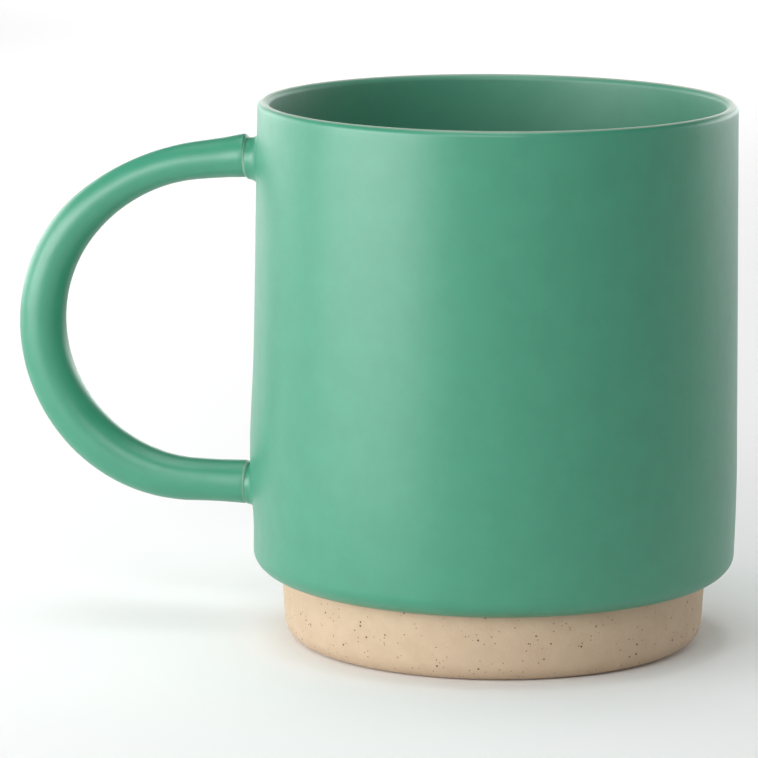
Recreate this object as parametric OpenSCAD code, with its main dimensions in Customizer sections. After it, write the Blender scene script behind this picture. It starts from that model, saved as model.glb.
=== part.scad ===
// Stoneware mug: a glazed cup on a bare stepped foot ring, with a rod handle luted on at two roots.
// Millimetres, +Z up. The origin is the centre of the ring that the foot rests on, on the cup's axis.
// The handle lies in the XZ plane and points along -X.

/* [Cup] */
// Height from the table to the top of the rim
mug_h = 100.3; // [92:0.1:112]
// Outside diameter of the rim
rim_d = 88.3; // [86:0.1:90]
// Outside diameter at the widest place, low on the wall
belly_d = 90; // [89:0.5:94]
// Height of the widest place
belly_z = 32.5; // [26:0.5:45]
// Outside diameter where the wall turns under
hip_d = 89.4; // [88:0.2:90]
// Radius of the turn from the wall to the underside
hip_r = 4.7; // [3:0.1:6]
// Thickness of the rim over the glaze
rim_t = 2.2; // [1.8:0.1:3]
// Inside diameter where the wall meets the floor's fillet
cavity_d = 82.6; // [78:0.2:83]
// Radius of the fillet between the inside wall and the floor
cavity_r = 9; // [4:0.5:14]
// Thickness of the cup's floor over the glaze
floor_t = 4.4; // [3:0.1:7]

/* [Foot] */
// Height of the foot ring, which is also the height of the cup's underside
foot_h = 12.5; // [8:0.1:14]
// Outside diameter of the foot ring at the top
foot_top_d = 78.8; // [74:0.2:79]
// Outside diameter of the foot ring at the bottom, before its rounded edge
foot_bottom_d = 77.7; // [76:0.1:78.4]
// Radius of the outer bottom edge
foot_edge_r = 4; // [1:0.1:5]
// Diameter of the recess inside the foot ring
foot_bore_d = 60; // [56:0.5:62]
// Radius of the inner bottom edge
foot_inner_r = 1.2; // [0.5:0.1:1.5]
// Depth of the cup's boss that centres the foot ring
boss_h = 2; // [1:0.1:3]

/* [Handle] */
// Diameter of the handle rod over the glaze
rod_d = 8.4; // [7:0.1:9]
// Distance from the cup's axis to the outside of the handle
reach = 91.2; // [84:0.2:98]
// Height of the lower root's axis
lower_root_z = 26.9; // [25:0.1:30]
// Radius of the main bend, on the rod's axis
main_bend_r = 29.2; // [27:0.1:30]
// Radius of the shoulder bend, on the rod's axis
shoulder_bend_r = 38.8; // [34:0.1:42]
// Angle that the shoulder bend turns through
shoulder_angle = 35.7; // [26:0.1:40]
// Fall of the upper arm, away from the cup
upper_arm_fall = 7.5; // [2:0.1:10]
// Distance from the cup's axis to the end face of each arm
root_x = 46.9; // [46.5:0.1:48]

/* [Joints and glaze] */
// Thickness of the glaze coat
glaze_t = 0.4; // [0.3:0.05:0.6]
// Diameter of the slip neck between the rod's end and the wall
neck_d = 7.4; // [6:0.1:8]
// Radius of the neck's flare on to the wall
flare_r = 2.5; // [1.5:0.1:3]
// Bare gap between the glaze edge and the foot ring
glaze_gap = 0.5; // [0.3:0.1:1]

/* [Hidden] */
$fn = 160;

glaze_green = [0.36, 0.67, 0.54];
liner_green = [0.30, 0.58, 0.47];
bare_clay = [0.82, 0.72, 0.59];
slip_clay = [0.70, 0.60, 0.47];

lip_r = rim_t / 2;
lip_x = rim_d / 2 - lip_r;
lip_z = mug_h - lip_r;
hip_x = hip_d / 2 - hip_r;
hip_z = foot_h + hip_r;
floor_z = foot_h + floor_t;
cavity_x = cavity_d / 2 - cavity_r;
cavity_z = floor_z + cavity_r;

slip_t = glaze_t;
slip_clearance = 0.5;
boss_d = foot_bore_d - 2 * slip_clearance;
boss_z = foot_h - boss_h;
foot_edge_x = foot_bottom_d / 2 - foot_edge_r;
foot_inner_x = foot_bore_d / 2 + foot_inner_r;

main_x = reach - rod_d / 2 - main_bend_r;
main_z = lower_root_z + main_bend_r;
turn_angle = upper_arm_fall + shoulder_angle;
shoulder_step = shoulder_bend_r - main_bend_r;
shoulder_x = main_x - shoulder_step * sin(turn_angle);
shoulder_z = main_z - shoulder_step * cos(turn_angle);
bend_x = main_x + main_bend_r * sin(turn_angle);
bend_z = main_z + main_bend_r * cos(turn_angle);
upper_x = shoulder_x + shoulder_bend_r * sin(upper_arm_fall);
upper_z = shoulder_z + shoulder_bend_r * cos(upper_arm_fall);
upper_root_z = upper_z + (upper_x - root_x) * tan(upper_arm_fall);
upper_arm_l = (upper_x - root_x) / cos(upper_arm_fall);
neck_depth = 6;
lower_wall_x = belly_d / 2 - 1;
upper_wall_x = rim_d / 2 - 0.3;

// Outside of the cup as a half section, set in from the glaze by inset
module outer_outline(inset) {
    polygon([
        [0, foot_h + inset],
        [hip_x, foot_h + inset],
        [hip_d / 2 - inset, hip_z],
        [belly_d / 2 - inset, belly_z],
        [rim_d / 2 - inset, lip_z],
        [0, lip_z]
    ]);
    translate([hip_x, hip_z]) circle(hip_r - inset);
}

// Room inside the cup as a half section, grown past the glaze by inset
module cavity_outline(inset) {
    polygon([
        [0, floor_z - inset],
        [cavity_x, floor_z - inset],
        [cavity_d / 2 + inset, cavity_z],
        [rim_d / 2 - rim_t + inset, lip_z],
        [0, lip_z]
    ]);
    translate([cavity_x, cavity_z]) circle(cavity_r + inset);
}

// Wall and floor as a half section, with a full round lip
module wall_section(inset) {
    intersection() {
        union() {
            difference() {
                outer_outline(inset);
                cavity_outline(inset);
            }
            translate([lip_x, lip_z]) circle(lip_r - inset);
        }
        square([belly_d, mug_h]);
    }
}

// Both glaze coats as a half section
module coat_section() {
    difference() {
        wall_section(0);
        wall_section(glaze_t);
    }
}

module cup_body() {
    color(bare_clay) rotate_extrude() {
        wall_section(glaze_t);
        translate([0, boss_z]) square([boss_d / 2, boss_h + glaze_t + 1]);
    }
}

module foot_ring() {
    color(bare_clay) rotate_extrude() {
        polygon([
            [foot_bore_d / 2, foot_inner_r],
            [foot_inner_x, 0],
            [foot_edge_x, 0],
            [foot_bottom_d / 2, foot_edge_r],
            [foot_top_d / 2, foot_h],
            [foot_bore_d / 2, foot_h]
        ]);
        intersection() {
            translate([foot_edge_x, foot_edge_r]) circle(foot_edge_r);
            translate([foot_edge_x, 0]) square([foot_edge_r, foot_edge_r]);
        }
        translate([foot_inner_x, foot_inner_r]) circle(foot_inner_r);
    }
}

// Slip bed between the foot ring and the cup: a flat washer and a sleeve round the boss
module foot_slip_joint() {
    color(slip_clay) rotate_extrude() {
        translate([boss_d / 2, foot_h]) square([(foot_top_d - boss_d) / 2, slip_t]);
        translate([boss_d / 2, boss_z]) square([slip_clearance, boss_h]);
    }
}

// A rod along the handle's line: arm, shoulder, main bend, arm. A ball, larger by a hair, closes each join.
// The arms' end faces lie past the roots by past
module rod(radius, past = 0) {
    ball_r = radius + 0.05;
    translate([-root_x, 0, upper_root_z]) rotate([0, -90 - upper_arm_fall, 0]) translate([0, 0, -past])
        cylinder(h = upper_arm_l + past, r = radius);
    translate([-upper_x, 0, upper_z]) sphere(ball_r);
    bend(shoulder_x, shoulder_z, shoulder_bend_r, 90 - upper_arm_fall, shoulder_angle, radius);
    translate([-bend_x, 0, bend_z]) sphere(ball_r);
    bend(main_x, main_z, main_bend_r, 90 - turn_angle, 180 - turn_angle, radius);
    translate([-main_x, 0, lower_root_z]) sphere(ball_r);
    translate([past - root_x, 0, lower_root_z]) rotate([0, -90, 0])
        cylinder(h = main_x - root_x + past, r = radius);
}

// A bend in the XZ plane, turned by sweep up to the angle top above the horizontal
module bend(centre_x, centre_z, bend_r, top, sweep, radius) {
    translate([-centre_x, 0, centre_z]) rotate([90, 0, 0]) rotate([0, 0, 180 - top])
        rotate_extrude(angle = sweep) translate([bend_r, 0]) circle(radius);
}

module handle_rod() {
    color(bare_clay) rod(rod_d / 2 - glaze_t);
}

module handle_glaze() {
    color(glaze_green) difference() {
        rod(rod_d / 2);
        rod(rod_d / 2 - glaze_t, 1);
    }
}

// Neck that flares on to the wall, along the arm's axis, with its end face at z = 0
module flared_neck(length) {
    rotate_extrude() difference() {
        square([neck_d / 2 + flare_r, length + neck_depth]);
        translate([neck_d / 2, -1]) square([flare_r + 1, length - flare_r + 1]);
        translate([neck_d / 2 + flare_r, length - flare_r]) circle(flare_r);
    }
}

module slip_joint(root_z, tilt, wall_x) {
    difference() {
        translate([-root_x, 0, root_z]) rotate([0, 90 - tilt, 0]) flared_neck(root_x - wall_x);
        rotate_extrude() outer_outline(glaze_t);
    }
}

module upper_slip_joint() {
    color(glaze_green) slip_joint(upper_root_z, upper_arm_fall, upper_wall_x);
}

module lower_slip_joint() {
    color(glaze_green) slip_joint(lower_root_z, 0, lower_wall_x);
}

// Coat on the outside, from the crest of the lip to the bare edge over the foot
module outer_glaze() {
    glaze_edge_x = foot_top_d / 2 + glaze_gap;
    color(glaze_green) difference() {
        rotate_extrude() intersection() {
            coat_section();
            union() {
                translate([lip_x, hip_z]) square([belly_d, mug_h]);
                translate([glaze_edge_x, 0]) square([belly_d, hip_z]);
            }
        }
        upper_slip_joint();
        lower_slip_joint();
    }
}

// Coat on the inside, from the crest of the lip across the floor
module liner_glaze() {
    color(liner_green) rotate_extrude() intersection() {
        coat_section();
        union() {
            translate([0, hip_z]) square([lip_x, mug_h]);
            translate([0, floor_z - glaze_t]) square([hip_x, mug_h]);
        }
    }
}

cup_body();
foot_ring();
foot_slip_joint();
handle_rod();
upper_slip_joint();
lower_slip_joint();
outer_glaze();
liner_glaze();
handle_glaze();
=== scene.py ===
from math import atan2, ceil, cos, degrees, exp, hypot, pi, radians, sin, sqrt, tan

import bmesh
import bpy
from mathutils import Matrix, Vector


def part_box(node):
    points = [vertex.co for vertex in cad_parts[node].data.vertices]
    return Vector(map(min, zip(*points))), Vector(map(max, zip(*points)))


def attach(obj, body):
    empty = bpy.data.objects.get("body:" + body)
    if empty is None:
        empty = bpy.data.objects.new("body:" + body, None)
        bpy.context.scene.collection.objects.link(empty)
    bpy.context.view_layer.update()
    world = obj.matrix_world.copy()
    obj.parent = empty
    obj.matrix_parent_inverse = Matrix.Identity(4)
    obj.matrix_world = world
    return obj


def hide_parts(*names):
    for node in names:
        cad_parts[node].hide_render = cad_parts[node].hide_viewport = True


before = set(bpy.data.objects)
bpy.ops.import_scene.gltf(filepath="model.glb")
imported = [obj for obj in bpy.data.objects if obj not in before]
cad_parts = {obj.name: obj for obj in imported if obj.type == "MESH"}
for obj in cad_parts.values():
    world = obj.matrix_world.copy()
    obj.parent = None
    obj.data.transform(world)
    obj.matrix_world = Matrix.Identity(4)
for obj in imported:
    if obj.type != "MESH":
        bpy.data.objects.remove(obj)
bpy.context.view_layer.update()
scene = bpy.context.scene
root = "root"

# Sizes that several pieces share, in metres, read from the frame
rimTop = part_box("outer_glaze")[1].z
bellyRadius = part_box("outer_glaze")[1].x
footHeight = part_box("foot_ring")[1].z
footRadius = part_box("foot_ring")[1].x
handleReach = -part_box("handle_glaze")[0].x
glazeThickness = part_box("handle_rod")[0].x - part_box("handle_glaze")[0].x
weldDistance = 1e-7


def arc(centreX, centreZ, radius, start, end, count):
    # points of an arc in the XZ plane, angles in degrees from +X
    points = []
    for i in range(count + 1):
        angle = radians(start + (end - start) * i / count)
        points.append((centreX + radius * cos(angle), centreZ + radius * sin(angle)))
    return points


def line(fromPoint, toPoint, count):
    points = []
    for i in range(1, count + 1):
        share = i / count
        points.append((fromPoint[0] + (toPoint[0] - fromPoint[0]) * share,
                       fromPoint[1] + (toPoint[1] - fromPoint[1]) * share))
    return points


def drawOutline(mesh, outline):
    # a wire in the XZ plane, one extruded vertex at a time
    first = bmesh.ops.create_vert(mesh, co=(outline[0][0], 0, outline[0][1]))["vert"][0]
    tip = first
    for x, z in outline[1:]:
        tip = bmesh.ops.extrude_vert_indiv(mesh, verts=[tip])["verts"][0]
        tip.co = (x, 0, z)
    bmesh.ops.contextual_create(mesh, geom=[tip, first])


def turn(outline, steps):
    # a closed outline turned round the cup's axis
    mesh = bmesh.new()
    drawOutline(mesh, outline)
    bmesh.ops.spin(mesh, geom=mesh.verts[:] + mesh.edges[:], cent=(0, 0, 0), axis=(0, 0, 1),
                   angle=2 * pi, steps=steps, use_merge=True)
    bmesh.ops.remove_doubles(mesh, verts=mesh.verts, dist=weldDistance)
    bmesh.ops.recalc_face_normals(mesh, faces=mesh.faces)
    return mesh


def finishPiece(mesh, name, nodes, material, sharpAngle=32):
    data = bpy.data.meshes.new(name)
    mesh.to_mesh(data)
    mesh.free()
    piece = bpy.data.objects.new(name, data)
    scene.collection.objects.link(piece)
    data.shade_smooth()
    data.set_sharp_from_angle(angle=radians(sharpAngle))
    data.materials.append(material)
    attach(piece, root)
    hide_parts(*nodes)
    print(name, len(data.polygons), "faces")


def newMaterial(name):
    material = bpy.data.materials.new(name)
    material.use_nodes = True
    nodes = material.node_tree.nodes
    nodes.clear()
    output = nodes.new("ShaderNodeOutputMaterial")
    shader = nodes.new("ShaderNodeBsdfPrincipled")
    material.node_tree.links.new(shader.outputs[0], output.inputs[0])
    return material, nodes, material.node_tree.links, shader


def noise(nodes, links, source, scale, detail=3.0, roughness=0.5):
    node = nodes.new("ShaderNodeTexNoise")
    node.inputs["Scale"].default_value = scale
    node.inputs["Detail"].default_value = detail
    node.inputs["Roughness"].default_value = roughness
    links.new(source, node.inputs["Vector"])
    return node.outputs["Fac"]


def spread(nodes, links, source, low, high, outLow, outHigh, smooth=False):
    node = nodes.new("ShaderNodeMapRange")
    node.interpolation_type = "SMOOTHSTEP" if smooth else "LINEAR"
    node.inputs["From Min"].default_value = low
    node.inputs["From Max"].default_value = high
    node.inputs["To Min"].default_value = outLow
    node.inputs["To Max"].default_value = outHigh
    links.new(source, node.inputs["Value"])
    return node.outputs["Result"]


def mixColour(nodes, links, factor, first, second):
    node = nodes.new("ShaderNodeMix")
    node.data_type = "RGBA"
    links.new(factor, node.inputs["Factor"])
    for socket, value in ((node.inputs[6], first), (node.inputs[7], second)):
        if isinstance(value, tuple):
            socket.default_value = (*value, 1)
        else:
            links.new(value, socket)
    return node.outputs[2]


def bump(nodes, links, height, distance, strength, previous=None):
    node = nodes.new("ShaderNodeBump")
    node.inputs["Strength"].default_value = strength
    node.inputs["Distance"].default_value = distance
    links.new(height, node.inputs["Height"])
    if previous:
        links.new(previous, node.inputs["Normal"])
    return node.outputs["Normal"]


glazeLook = {
    "colour": (0.0362, 0.251, 0.151),
    "deepColour": (0.0320, 0.235, 0.140),
    # paler band along the lip's crest: glaze thinning over the clay, and partly a painted highlight on the
    # crest
    "thinGlazeAndHighlightColour": (0.290, 0.400, 0.300),
    "edgeAxis": "Z",
    "edgeStart": rimTop - 0.00024,
    "edgeWidth": 0.00014,
    "speckColour": (0.014, 0.080, 0.050),
    "speckShare": 0.992,
    "roughness": 0.38,
    "roughnessSpread": 0.02,
    "refraction": 1.66,
    "sheen": 0.0,
    "sheenRoughness": 0.5,
    "mottleScale": 160.0,
    "speckScale": 240.0,
    "speckSize": 0.07,
    # scale of the noise, its detail, height of the relief, strength
    "relief": [(45.0, 1, 0.0006, 0.05), (420.0, 2, 0.00006, 0.30), (1400.0, 2, 0.00002, 0.35)],
}


def specks(nodes, links, place, scale, share, size):
    # sparse round dots; share is how many cells stay empty, size is the dot's radius in cells
    cells = nodes.new("ShaderNodeTexVoronoi")
    cells.inputs["Scale"].default_value = scale
    links.new(place, cells.inputs["Vector"])
    near = spread(nodes, links, cells.outputs["Distance"], size * 0.6, size, 1, 0, True)
    lot = nodes.new("ShaderNodeSeparateColor")
    links.new(cells.outputs["Color"], lot.inputs[0])
    chosen = spread(nodes, links, lot.outputs[0], share, share + 0.3 * (1 - share), 0, 1)
    dot = nodes.new("ShaderNodeMath")
    dot.operation = "MULTIPLY"
    links.new(near, dot.inputs[0])
    links.new(chosen, dot.inputs[1])
    return dot.outputs[0]


def makeGlaze(name, look):
    # satin green, a shade deeper in soft patches, and paler past the edge's start along its axis where the
    # glaze is thin; that pale band is partly a painted highlight
    material, nodes, links, shader = newMaterial(name)
    place = nodes.new("ShaderNodeTexCoord").outputs["Object"]
    mottle = noise(nodes, links, place, look["mottleScale"], 5, 0.65)
    tone = spread(nodes, links, mottle, 0.32, 0.68, 0, 1, True)
    colour = mixColour(nodes, links, tone, look["deepColour"], look["colour"])
    axes = nodes.new("ShaderNodeSeparateXYZ")
    links.new(place, axes.inputs[0])
    # pale band past the edge's start: thin glaze, partly a painted highlight
    edge = spread(nodes, links, axes.outputs[look["edgeAxis"]], look["edgeStart"],
                  look["edgeStart"] + look["edgeWidth"], 0, 0.9, True)
    colour = mixColour(nodes, links, edge, colour, look["thinGlazeAndHighlightColour"])
    dots = specks(nodes, links, place, look["speckScale"], look["speckShare"], look["speckSize"])
    colour = mixColour(nodes, links, dots, colour, look["speckColour"])
    links.new(colour, shader.inputs["Base Color"])
    dull = noise(nodes, links, place, look["mottleScale"] * 1.7, 3)
    rough = spread(nodes, links, dull, 0.3, 0.7, look["roughness"] - look["roughnessSpread"],
                   look["roughness"] + look["roughnessSpread"])
    links.new(rough, shader.inputs["Roughness"])
    shader.inputs["IOR"].default_value = look["refraction"]
    shader.inputs["Sheen Weight"].default_value = look["sheen"]
    shader.inputs["Sheen Roughness"].default_value = look["sheenRoughness"]
    normal = None
    for scale, detail, distance, strength in look["relief"]:
        normal = bump(nodes, links, noise(nodes, links, place, scale, detail), distance, strength, normal)
    links.new(normal, shader.inputs["Normal"])
    return material


clayLook = {
    "colour": (0.530, 0.404, 0.284),
    "warmColour": (0.492, 0.366, 0.252),
    "speckColour": (0.120, 0.070, 0.038),
    "roughness": 0.86,
    "grainScale": 1500.0,
    "grainHeight": 0.00015,
    "grainStrength": 0.60,
    "patchScale": 260.0,
    # scale of the cells, share of them left empty, radius of a dot in cells
    "specks": [(800.0, 0.84, 0.20), (1500.0, 0.80, 0.22), (420.0, 0.93, 0.12)],
}


def makeClay(name, look):
    # dry sandy clay with fine iron specks
    material, nodes, links, shader = newMaterial(name)
    place = nodes.new("ShaderNodeTexCoord").outputs["Object"]
    patch = noise(nodes, links, place, look["patchScale"], 5, 0.65)
    colour = mixColour(nodes, links, spread(nodes, links, patch, 0.3, 0.7, 0, 1, True),
                       look["warmColour"], look["colour"])
    for scale, share, size in look["specks"]:
        dots = specks(nodes, links, place, scale, share, size)
        colour = mixColour(nodes, links, dots, colour, look["speckColour"])
    links.new(colour, shader.inputs["Base Color"])
    shader.inputs["Roughness"].default_value = look["roughness"]
    grain = noise(nodes, links, place, look["grainScale"], 4, 0.65)
    normal = bump(nodes, links, grain, look["grainHeight"], look["grainStrength"])
    links.new(normal, shader.inputs["Normal"])
    return material


# joint slip in darker clay; its darker tone partly paints the thin shadow line under the glaze edge
slipAndShadeLook = dict(clayLook, colour=(0.42, 0.30, 0.20), warmColour=(0.36, 0.25, 0.16))

linerLook = dict(glazeLook, roughness=0.50, refraction=1.85, sheen=0.22)

glaze = makeGlaze("greenGlaze", glazeLook)
linerGlaze = makeGlaze("linerGlaze", linerLook)
clay = makeClay("bareClay", clayLook)
slipClayAndShade = makeClay("slipClayAndShade", slipAndShadeLook)
print("materials made")

cup = {
    "rimRadius": 0.04412,
    "rimThickness": 0.0022,
    "hipRadius": 0.0447,
    "hipHeight": 0.0165,
    "bellyHeight": 0.0325,
    "hipTurn": 0.0056,
    "hipDrop": 0.0041,
    "cavityRadius": 0.0413,
    "cavityTurn": 0.009,
    "floorThickness": 0.0044,
    "bossRadius": 0.0295,
    "bossDepth": 0.002,
    "swell": 0.0006,
    "swellHeight": 0.037,
    "swellReach": 0.011,
    "dip": 0.0003,
    "dipHeight": 0.0220,
    "dipReach": 0.0038,
    "swellWidth": 26.0,
    "skinDepth": 0.0014,
    "glazeGap": 0.0005,
    "steps": 256,
    "wallRows": 60,
}
lipRadius = cup["rimThickness"] / 2
lipX = cup["rimRadius"] - lipRadius
lipZ = rimTop - lipRadius
hipX = cup["hipRadius"] - cup["hipTurn"]
hipZ = footHeight + cup["hipDrop"]
floorZ = footHeight + cup["floorThickness"]
cavityX = cup["cavityRadius"] - cup["cavityTurn"]
cavityZ = floorZ + cup["cavityTurn"]


def wallRadius(z):
    # outside of the cup: a slight taper above the belly, a soft fall to the hip below it
    if z >= cup["bellyHeight"]:
        share = (z - cup["bellyHeight"]) / (lipZ - cup["bellyHeight"])
        return bellyRadius + (cup["rimRadius"] - bellyRadius) * share
    share = (cup["bellyHeight"] - z) / (cup["bellyHeight"] - cup["hipHeight"])
    return bellyRadius - (bellyRadius - cup["hipRadius"]) * min(share, 1) ** 2


def swellOut(x, y, z):
    # how far the wall stands out over the lower root of the handle, and draws in under it
    if x > 0:
        return 0
    side = degrees(atan2(y, -x)) / cup["swellWidth"]
    rise = cup["swell"] * exp(-((z - cup["swellHeight"]) / cup["swellReach"]) ** 2)
    rise -= cup["dip"] * exp(-((z - cup["dipHeight"]) / cup["dipReach"]) ** 2)
    return rise * exp(-side * side)


def swellWall(mesh):
    # moves the wall outside skinDepth by swellOut, on the body and on the glaze alike
    for vert in mesh.verts:
        radius = hypot(vert.co.x, vert.co.y)
        if radius > cup["cavityRadius"] + cup["skinDepth"] and vert.co.z > hipZ:
            grow = 1 + swellOut(*vert.co) / radius
            vert.co.x *= grow
            vert.co.y *= grow
    return mesh


def outerSide(inset, endX):
    # from the underside at endX, round the hip and up the wall to the crest of the lip
    points = [(endX, footHeight + inset)]
    for x, z in arc(0, 0, 1, -90, 0, 16):
        points.append((hipX + x * (cup["hipTurn"] - inset), hipZ + z * (cup["hipDrop"] - inset)))
    rows = cup["wallRows"]
    for i in range(1, rows):
        z = hipZ + (lipZ - hipZ) * i / rows
        points.append((wallRadius(z) - inset, z))
    points += arc(lipX, lipZ, lipRadius - inset, 0, 90, 10)
    return points


def innerSide(inset):
    # from the crest of the lip down the inside wall and across the floor to the axis
    points = arc(lipX, lipZ, lipRadius - inset, 90, 180, 10)
    rows = cup["wallRows"]
    top = (cup["rimRadius"] - cup["rimThickness"] + inset, lipZ)
    low = (cup["cavityRadius"] + inset, cavityZ)
    points += line(top, low, rows)[:-1]
    points += arc(cavityX, cavityZ, cup["cavityTurn"] + inset, 0, -90, 16)
    points += line((cavityX, floorZ - inset), (0, floorZ - inset), 8)
    return points


core = outerSide(glazeThickness, cup["bossRadius"]) + innerSide(glazeThickness)[1:]
core += [(0, footHeight - cup["bossDepth"]), (cup["bossRadius"], footHeight - cup["bossDepth"])]
finishPiece(swellWall(turn(core, cup["steps"])), "cupBody", ["cup_body"], clay)

glazeEdge = footRadius + cup["glazeGap"]
shell = outerSide(0, glazeEdge) + outerSide(glazeThickness, glazeEdge)[::-1]
finishPiece(swellWall(turn(shell, cup["steps"])), "outerGlaze", ["outer_glaze"], glaze)

liner = innerSide(0) + innerSide(glazeThickness)[::-1]
finishPiece(turn(liner, cup["steps"]), "linerGlaze", ["liner_glaze"], linerGlaze)
print("cup made")

foot = {
    "bottomRadius": 0.03885,
    "edgeTurn": 0.004,
    "topTurn": 0.0003,
    "boreRadius": 0.030,
    "innerTurn": 0.0012,
    "slipInset": 0.0002,
    "steps": 256,
    "slipSteps": 192,
}
ringOutline = arc(foot["boreRadius"] + foot["innerTurn"], foot["innerTurn"], foot["innerTurn"], 180, 270, 6)
ringOutline += arc(foot["bottomRadius"] - foot["edgeTurn"], foot["edgeTurn"], foot["edgeTurn"], -90, 0, 14)
ringOutline += line(ringOutline[-1], (footRadius, footHeight - foot["topTurn"]), 8)
ringOutline += arc(footRadius - foot["topTurn"], footHeight - foot["topTurn"], foot["topTurn"], 0, 90, 3)
ringOutline += [(foot["boreRadius"], footHeight)]
finishPiece(turn(ringOutline, foot["steps"]), "footRing", ["foot_ring"], clay)

slipTop = footHeight + glazeThickness
slipRadius = footRadius - foot["slipInset"]
boss = cup["bossRadius"]
bed = [(boss, footHeight - cup["bossDepth"]), (foot["boreRadius"], footHeight - cup["bossDepth"]),
       (foot["boreRadius"], footHeight), (slipRadius, footHeight), (slipRadius, slipTop), (boss, slipTop)]
finishPiece(turn(bed, foot["slipSteps"]), "footSlip", ["foot_slip_joint"], slipClayAndShade)
print("foot made")

handle = {
    "lowerRootZ": 0.0269,
    "mainTurn": 0.0292,
    "shoulderTurn": 0.0388,
    "shoulderAngle": 35.7,
    "fall": 7.5,
    "rootX": 0.0469,
    "radius": 0.0042,
    "endTurn": 0.0006,
    "endHole": 0.0028,
    "endPale": 0.0005,
    "sharpAngle": 50,
    "around": 64,
    "coreAround": 48,
    "rowLength": 0.0008,
    # share of the way from the upper root to the lower one, thickness there
    "rodSizes": [(0, 0.00815), (0.045, 0.00742), (0.146, 0.00680), (0.235, 0.00710), (0.33, 0.0080),
                 (0.45, 0.0086), (0.60, 0.00898), (0.716, 0.0091), (0.81, 0.0088), (0.893, 0.00818),
                 (0.945, 0.00793), (1, 0.0082)],
}
# pale band on the rod's rounded end edges: thin glaze there, and partly a painted highlight that also
# lightens the shaded crease at the neck
rodLook = dict(glazeLook, thinGlazeAndHighlightColour=(0.300, 0.460, 0.360), edgeAxis="X",
               edgeStart=-handle["rootX"] - handle["endPale"], edgeWidth=0.0001)
rodGlaze = makeGlaze("rodGlaze", rodLook)

mainX = handleReach - handle["radius"] - handle["mainTurn"]
mainZ = handle["lowerRootZ"] + handle["mainTurn"]
turned = radians(handle["fall"] + handle["shoulderAngle"])
step = handle["shoulderTurn"] - handle["mainTurn"]
shoulderX = mainX - step * sin(turned)
shoulderZ = mainZ - step * cos(turned)
fall = radians(handle["fall"])
upperX = shoulderX + handle["shoulderTurn"] * sin(fall)
upperZ = shoulderZ + handle["shoulderTurn"] * cos(fall)
upperRootZ = upperZ + (upperX - handle["rootX"]) * tan(fall)
armLengths = [(upperX - handle["rootX"]) / cos(fall), handle["shoulderTurn"] * (turned - fall),
              handle["mainTurn"] * (pi - turned), mainX - handle["rootX"]]
handleLength = sum(armLengths)


def handlePoint(s):
    # place on the handle's line and its direction, at the distance s from the upper root
    a, b, c = armLengths[:3]
    if s <= a:
        return (Vector((-handle["rootX"] - s * cos(fall), 0, upperRootZ - s * sin(fall))),
                Vector((-cos(fall), 0, -sin(fall))))
    if s <= a + b:
        angle = fall + (s - a) / handle["shoulderTurn"]
        return (Vector((-shoulderX - handle["shoulderTurn"] * sin(angle), 0,
                        shoulderZ + handle["shoulderTurn"] * cos(angle))),
                Vector((-cos(angle), 0, -sin(angle))))
    if s <= a + b + c:
        angle = turned + (s - a - b) / handle["mainTurn"]
        return (Vector((-mainX - handle["mainTurn"] * sin(angle), 0,
                        mainZ + handle["mainTurn"] * cos(angle))),
                Vector((-cos(angle), 0, -sin(angle))))
    return (Vector((-mainX + (s - a - b - c), 0, handle["lowerRootZ"])), Vector((1, 0, 0)))


def rodSize(share):
    # rod radius at a share of its length, on a smooth curve through the listed places
    sizes = handle["rodSizes"]
    slopes = [0]
    for before, after in zip(sizes, sizes[2:]):
        slopes.append((after[1] - before[1]) / (after[0] - before[0]))
    slopes.append(0)
    for (s0, d0), (s1, d1), slope0, slope1 in zip(sizes, sizes[1:], slopes, slopes[1:]):
        if share <= s1:
            gap = s1 - s0
            t = (share - s0) / gap
            low = d0 * (1 + 2 * t) * (1 - t) ** 2 + slope0 * gap * t * (1 - t) ** 2
            return (low + d1 * t * t * (3 - 2 * t) - slope1 * gap * t * t * (1 - t)) / 2
    return sizes[-1][1] / 2


def sweepRings(mesh, rings, around):
    # one circle, extruded from ring to ring; a ring is (place, direction, radius)
    loop = bmesh.ops.create_circle(mesh, segments=around, radius=1)["verts"]
    edges = mesh.edges[:]
    verts = loop
    for index, (place, direction, radius) in enumerate(rings):
        if index:
            extruded = bmesh.ops.extrude_edge_only(mesh, edges=edges)["geom"]
            verts = [g for g in extruded if isinstance(g, bmesh.types.BMVert)]
            edges = [g for g in extruded if isinstance(g, bmesh.types.BMEdge)]
            back = lastFrame.inverted()
        else:
            back = Matrix.Identity(4)
        across = Vector((0, 1, 0))
        up = direction.cross(across)
        here = Matrix.LocRotScale(place, None, None) @ Matrix((
            (across.x * radius, up.x * radius, direction.x * radius, 0),
            (across.y * radius, up.y * radius, direction.y * radius, 0),
            (across.z * radius, up.z * radius, direction.z * radius, 0),
            (0, 0, 0, 1)))
        bmesh.ops.transform(mesh, matrix=here @ back, verts=verts)
        lastFrame = here
    return mesh


def rodRings(inset, endInset, endTurn, endHole):
    # rings along the rod, with a rounded edge and a part-closed face at both ends
    first, last = endInset, handleLength - endInset
    rings = []
    faceSteps, turnSteps = 3, 6
    for end, sign in ((first, 1), (last, -1)):
        radius = rodSize(end / handleLength) - inset
        endRings = []
        for i in range(faceSteps):
            endRings.append((end, endHole + (radius - endTurn - endHole) * i / faceSteps))
        for i in range(turnSteps + 1):
            angle = pi / 2 * i / turnSteps
            s = end + sign * endTurn * (1 - cos(angle))
            endRings.append((s, rodSize(s / handleLength) - inset - endTurn * (1 - sin(angle))))
        rings.append(endRings)
    start, finish = first + endTurn, last - endTurn
    count = ceil((finish - start) / handle["rowLength"])
    middle = []
    for i in range(1, count):
        s = start + (finish - start) * i / count
        middle.append((s, rodSize(s / handleLength) - inset))
    everything = rings[0] + middle + rings[1][::-1]
    return [(*handlePoint(s), radius) for s, radius in everything]


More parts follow.
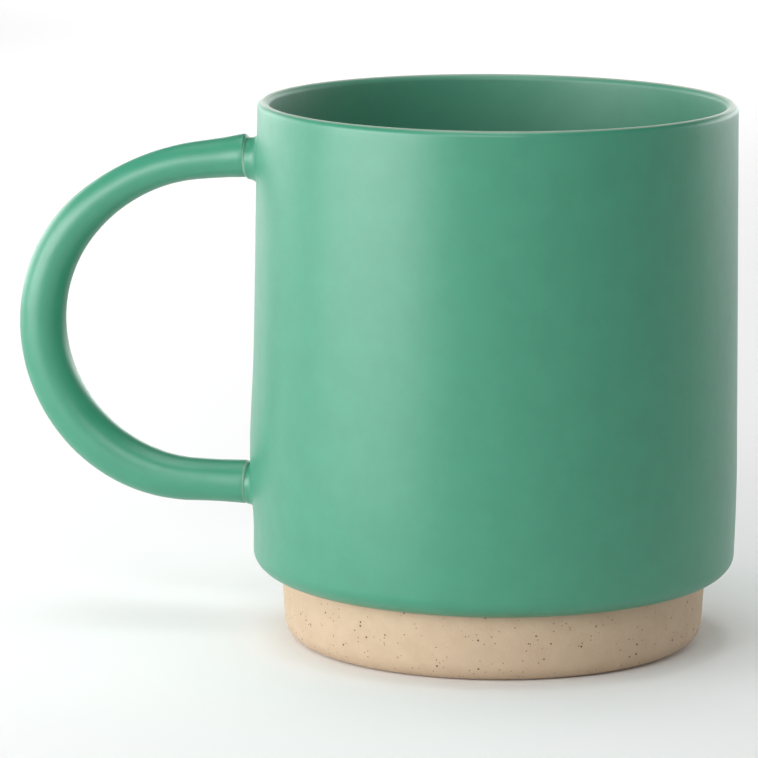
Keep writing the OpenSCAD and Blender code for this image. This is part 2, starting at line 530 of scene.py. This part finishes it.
skin = bmesh.new()
sweepRings(skin, rodRings(0, 0, handle["endTurn"], handle["endHole"]), handle["around"])
bmesh.ops.recalc_face_normals(skin, faces=skin.faces)
bmesh.ops.solidify(skin, geom=skin.faces[:], thickness=glazeThickness)
bmesh.ops.recalc_face_normals(skin, faces=skin.faces)
finishPiece(skin, "handleGlaze", ["handle_glaze"], rodGlaze, handle["sharpAngle"])

rod = bmesh.new()
sweepRings(rod, rodRings(glazeThickness, glazeThickness, handle["endTurn"], handle["endHole"]),
           handle["coreAround"])
bmesh.ops.holes_fill(rod, edges=rod.edges, sides=0)
bmesh.ops.recalc_face_normals(rod, faces=rod.faces)
finishPiece(rod, "handleRod", ["handle_rod"], clay)
print("handle made")

joint = {
    "neckRadius": 0.0039,
    "inRadius": 0.0030,
    "upperDrop": 0.0006,
    "lowerDrop": 0.0003,
    "flare": 0.0030,
    "inRod": 0.0012,
    "inWall": 0.0009,
    "offWall": 0.00002,
    "around": 64,
    "rows": 14,
}


def wallPlace(y, z):
    radius = wallRadius(z)
    x = -sqrt(radius * radius - y * y)
    return x * (1 + swellOut(x, y, z) / radius)


def makeJoint(name, node, rootZ, drop, slope):
    # a neck from inside the rod's end, flaring until it lies on the wall
    mesh = bmesh.new()
    loop = bmesh.ops.create_circle(mesh, segments=joint["around"], radius=1)["verts"]
    edges = mesh.edges[:]
    rows = [("inRod", 1.0)]
    rows += [("flare", i / joint["rows"]) for i in range(joint["rows"] + 1)]
    rows += [("sunk", 0.5), ("sunk", 1.0)]
    centreZ = rootZ - drop
    angles = [atan2(v.co.y, v.co.x) for v in loop]
    verts = loop
    for index, (kind, share) in enumerate(rows):
        if index:
            extruded = bmesh.ops.extrude_edge_only(mesh, edges=edges)["geom"]
            verts = [g for g in extruded if isinstance(g, bmesh.types.BMVert)]
            edges = [g for g in extruded if isinstance(g, bmesh.types.BMEdge)]
        for vert, angle in zip(verts, angles):
            across, up = cos(angle), sin(angle)
            neckY = joint["neckRadius"] * across
            skirtY = (joint["neckRadius"] + joint["flare"]) * across
            neckZ = centreZ + joint["neckRadius"] * up
            skirtZ = centreZ + (joint["neckRadius"] + joint["flare"]) * up
            wallX = wallPlace(skirtY, skirtZ) + joint["offWall"]
            if kind == "inRod":
                vert.co = (-handle["rootX"] - joint["inRod"], joint["inRadius"] * across,
                           rootZ + joint["inRadius"] * up - joint["inRod"] * slope)
            elif kind == "flare":
                turnBy = pi / 2 * share
                x = -handle["rootX"] + (wallX + handle["rootX"]) * sin(turnBy)
                y = neckY + (skirtY - neckY) * (1 - cos(turnBy))
                z = neckZ + (skirtZ - neckZ) * (1 - cos(turnBy))
                vert.co = (x, y, z)
            else:
                vert.co = (wallX + joint["inWall"] * share, skirtY, skirtZ)
    bmesh.ops.holes_fill(mesh, edges=mesh.edges, sides=0)
    bmesh.ops.remove_doubles(mesh, verts=mesh.verts, dist=weldDistance)
    bmesh.ops.recalc_face_normals(mesh, faces=mesh.faces)
    finishPiece(mesh, name, [node], glaze, handle["sharpAngle"])


makeJoint("upperJoint", "upper_slip_joint", upperRootZ, joint["upperDrop"], tan(fall))
makeJoint("lowerJoint", "lower_slip_joint", handle["lowerRootZ"], joint["lowerDrop"], 0)
print("joints made")

ground = {
    "radius": 1.4,
    "steps": 128,
    "colour": (0.92, 0.92, 0.92),
    "roughness": 0.9,
}
floorMesh = bmesh.new()
bmesh.ops.create_circle(floorMesh, cap_ends=True, segments=ground["steps"], radius=ground["radius"])
floorData = bpy.data.meshes.new("floor")
floorMesh.to_mesh(floorData)
floorMesh.free()
floor = bpy.data.objects.new("floor", floorData)
scene.collection.objects.link(floor)
floorMaterial, _, _, floorShader = newMaterial("paleFloor")
floorShader.inputs["Base Color"].default_value = (*ground["colour"], 1)
floorShader.inputs["Roughness"].default_value = ground["roughness"]
floorData.materials.append(floorMaterial)

# Each panel faces the mug: azimuth from the camera, positive to its right, distance from the cup's axis,
# height of its middle, width, height and brightness. A panel below levelBelow faces the axis at its own
# height, and a higher one looks down at aimLow. The lamp shines straight down on the floor
studio = {
    "horizon": 0.60,
    "zenith": 0.10,
    "zenithFrom": 0.75,
    "levelBelow": 0.3,
    "aimLow": 0.05,
    "panels": {
        "left": (-60, 0.80, 0.205, 0.80, 0.40, 5.9),
        "leftBack": (-128, 0.80, 0.205, 0.70, 0.40, 2.8),
        "front": (-10, 0.75, 0.56, 0.50, 0.34, 4.2),
        "back": (155, 1.20, 0.255, 2.40, 0.50, 2.8),
    },
    "lampPlace": (-0.22, 0.40, 0.60),
    "lampWidth": 0.70,
    "lampDepth": 1.20,
    "lampSpread": 60.0,
    "lampPower": 1.15,
}
world = bpy.data.worlds.new("studio")
scene.world = world
world.use_nodes = True
worldNodes, worldLinks = world.node_tree.nodes, world.node_tree.links
upward = worldNodes.new("ShaderNodeSeparateXYZ")
worldLinks.new(worldNodes.new("ShaderNodeTexCoord").outputs["Generated"], upward.inputs[0])
glow = spread(worldNodes, worldLinks, upward.outputs["Z"], 0, studio["zenithFrom"],
              studio["horizon"], studio["zenith"], True)
worldLinks.new(glow, worldNodes["Background"].inputs["Strength"])
worldNodes["Background"].inputs["Color"].default_value = (1, 1, 1, 1)

camera = {
    "azimuth": -11.0,
    "elevation": 10.29,
    "distance": 0.9,
    "roll": 0.30,
    "aimHeight": 0.04833,
    "aside": 0.02152,
    "lens": 230.6,
    "sensor": 36,
    "farthest": 20,
}
turnBy = Matrix.Rotation(radians(-camera["azimuth"]), 3, "Z")
rise = radians(camera["elevation"])


def areaLight(name, place, target, width, height, power):
    data = bpy.data.lights.new(name, "AREA")
    data.shape = "RECTANGLE"
    data.size = width
    data.size_y = height
    data.energy = power
    light = bpy.data.objects.new(name, data)
    scene.collection.objects.link(light)
    light.location = turnBy @ Vector(place)
    aim = turnBy @ Vector(target) - light.location
    light.rotation_euler = aim.to_track_quat("-Z", "Y").to_euler()
    light.visible_camera = False
    return light


for name, (side, distance, middle, width, height, bright) in studio["panels"].items():
    place = (distance * sin(radians(side)), -distance * cos(radians(side)), middle)
    aimZ = middle if middle < studio["levelBelow"] else studio["aimLow"]
    areaLight(name + "Panel", place, (0, 0, aimZ), width, height, bright * pi * width * height)
lamp = areaLight("floorLamp", studio["lampPlace"], (*studio["lampPlace"][:2], 0), studio["lampWidth"],
                 studio["lampDepth"], studio["lampPower"])
lamp.rotation_euler = turnBy.to_euler()
lamp.data.spread = radians(studio["lampSpread"])

cameraData = bpy.data.cameras.new("camera")
cameraObject = bpy.data.objects.new("camera", cameraData)
scene.collection.objects.link(cameraObject)
scene.camera = cameraObject
cameraData.sensor_width = camera["sensor"]
cameraData.lens = camera["lens"]
cameraData.clip_end = camera["farthest"]
eyeHeight = camera["aimHeight"] + camera["distance"] * sin(rise)
place = turnBy @ Vector((0, -camera["distance"] * cos(rise), eyeHeight))
target = turnBy @ Vector((-camera["aside"], 0, camera["aimHeight"]))
look = (target - place).to_track_quat("-Z", "Y").to_matrix()
tilt = Matrix.Rotation(radians(camera["roll"]), 3, "Z")
cameraObject.location = place
cameraObject.rotation_euler = (look @ tilt).to_euler()
scene.view_settings.view_transform = "Standard"
print("studio made")
